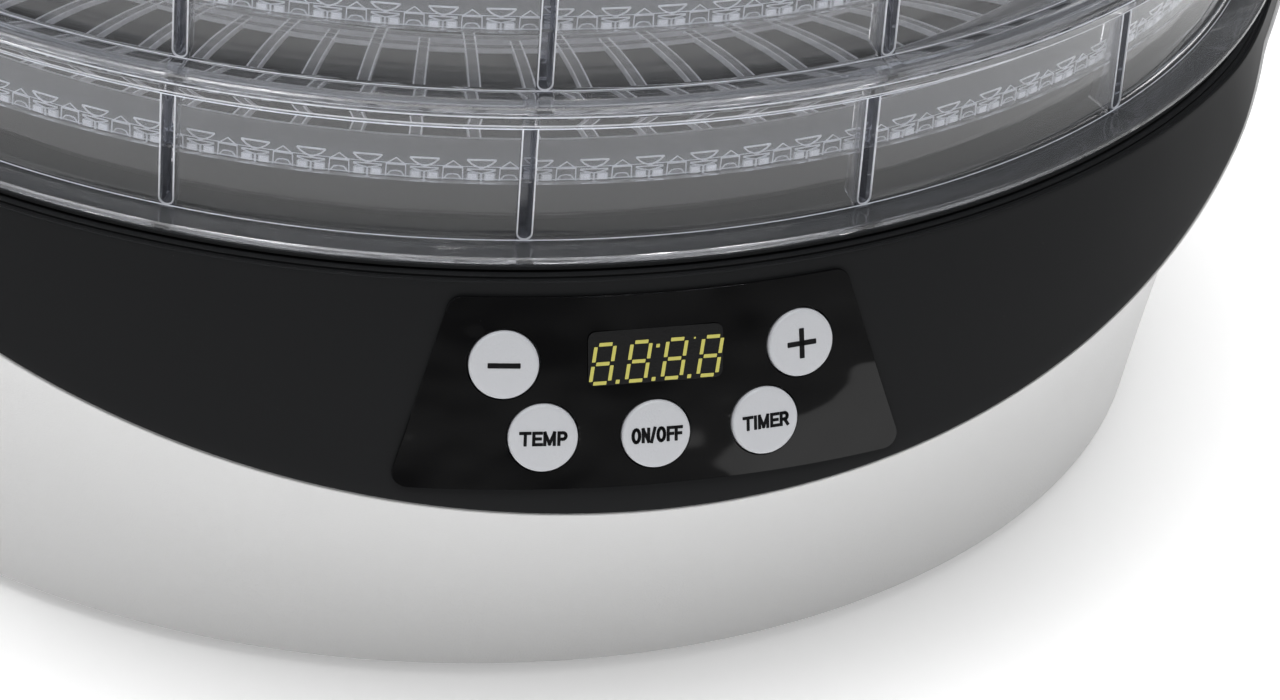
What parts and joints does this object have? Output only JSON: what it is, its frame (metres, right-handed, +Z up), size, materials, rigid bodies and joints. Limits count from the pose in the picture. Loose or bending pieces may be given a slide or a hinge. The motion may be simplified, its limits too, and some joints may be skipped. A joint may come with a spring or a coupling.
{
  "type": "round stacking dryer",
  "caption": "Round heated-air dryer: white base with a fan and heater, black collar with a digital push-button panel, stacked clear trays with slotted floors, and a clear vented lid.",
  "frame": {"origin": "middle of the outline on the bench: the outline is 9.8 mm deeper in front of the stack's axis than behind it", "axes": "+Z up along the stack, -Y out of the control panel, +X to the right of someone facing the panel"},
  "size_m": [0.332, 0.3418, 0.2638],
  "materials": {
    "white_shell": "white, soft gloss",
    "black_satin": "black, satin",
    "black_gloss": "black, glossy",
    "button_cap": "light grey, satin",
    "smoked_window": "smoked clear plastic",
    "clear_tray": "clear polystyrene",
    "rubber": "matt",
    "circuit_board": "green solder mask",
    "steel": "plain",
    "aluminium": "plain sheet",
    "transformer": "varnished",
    "relay_blue": "blue case",
    "mica": "mica board",
    "fan_plastic": "dark grey"
  },
  "bodies": {
    "base": {"base_housing": "white_shell", "bottom_plate": "black_satin", "collar": "black_satin", "top_deck": "black_satin", "outlet_grille": "black_satin", "control_overlay": "black_gloss", "display_window": "smoked_window", "display_module": "black_gloss", "control_board": "circuit_board", "cord_gland": "rubber", "power_board": "circuit_board", "power_relay": "relay_blue", "power_transformer": "transformer", "heat_shield": "aluminium", "fan_motor": "aluminium", "motor_bracket": "steel", "heater_frame": "mica", "heater_coil": "steel", "thermostat": "aluminium", "thermal_fuse": "mica", "foot_1": "rubber", "foot_2": "rubber", "foot_3": "rubber", "foot_4": "rubber", "base_screw_1": "steel", "base_screw_2": "steel", "base_screw_3": "steel", "base_screw_4": "steel", "deck_screw_1": "steel", "deck_screw_2": "steel", "deck_screw_3": "steel", "shield_screw_1": "steel", "shield_screw_2": "steel", "shield_screw_3": "steel", "motor_screw_1": "steel", "motor_screw_2": "steel", "panel_screw_1": "steel", "panel_screw_2": "steel", "power_screw_1": "steel", "power_screw_2": "steel", "switch_minus": "black_gloss", "switch_plus": "black_gloss", "switch_temp": "black_gloss", "switch_power": "black_gloss", "switch_timer": "black_gloss"},
    "fan": {"fan_impeller": "fan_plastic", "motor_shaft": "steel"},
    "button_minus": {"button_minus": "button_cap"},
    "button_plus": {"button_plus": "button_cap"},
    "button_temp": {"button_temp": "button_cap"},
    "button_power": {"button_power": "button_cap"},
    "button_timer": {"button_timer": "button_cap"},
    "tray_1": {"tray_1": "clear_tray"},
    "tray_2": {"tray_2": "clear_tray"},
    "tray_3": {"tray_3": "clear_tray"},
    "tray_4": {"tray_4": "clear_tray"},
    "tray_5": {"tray_5": "clear_tray"},
    "lid": {"lid": "clear_tray"}
  },
  "joints": [
    {"name": "fan_spin", "type": "hinge", "parent": "base", "child": "fan", "pos_m": [0, 0.00489, 0.05], "axis": [0, 0, 1], "continuous": true},
    {"name": "button_minus_press", "type": "slide", "parent": "base", "child": "button_minus", "axis": [0.1486, 0.9544, -0.2589], "range_m": [0, 0.0008], "stiffness_N_per_m": 600, "springref_m": -0.001},
    {"name": "button_plus_press", "type": "slide", "parent": "base", "child": "button_plus", "axis": [-0.1486, 0.9544, -0.2589], "range_m": [0, 0.0008], "stiffness_N_per_m": 600, "springref_m": -0.001},
    {"name": "button_temp_press", "type": "slide", "parent": "base", "child": "button_temp", "axis": [0.1093, 0.9597, -0.2589], "range_m": [0, 0.0008], "stiffness_N_per_m": 600, "springref_m": -0.001},
    {"name": "button_power_press", "type": "slide", "parent": "base", "child": "button_power", "axis": [0, 0.9659, -0.2589], "range_m": [0, 0.0008], "stiffness_N_per_m": 600, "springref_m": -0.001},
    {"name": "button_timer_press", "type": "slide", "parent": "base", "child": "button_timer", "axis": [-0.1093, 0.9597, -0.2589], "range_m": [0, 0.0008], "stiffness_N_per_m": 600, "springref_m": -0.001},
    {"name": "tray_1_lift", "type": "slide", "parent": "base", "child": "tray_1", "axis": [0, 0, 1], "range_m": [0, 0.1]},
    {"name": "tray_2_lift", "type": "slide", "parent": "tray_1", "child": "tray_2", "axis": [0, 0, 1], "range_m": [0, 0.1]},
    {"name": "tray_3_lift", "type": "slide", "parent": "tray_2", "child": "tray_3", "axis": [0, 0, 1], "range_m": [0, 0.1]},
    {"name": "tray_4_lift", "type": "slide", "parent": "tray_3", "child": "tray_4", "axis": [0, 0, 1], "range_m": [0, 0.1]},
    {"name": "tray_5_lift", "type": "slide", "parent": "tray_4", "child": "tray_5", "axis": [0, 0, 1], "range_m": [0, 0.1]},
    {"name": "lid_lift", "type": "slide", "parent": "tray_5", "child": "lid", "axis": [0, 0, 1], "range_m": [0, 0.1]}
  ]
}
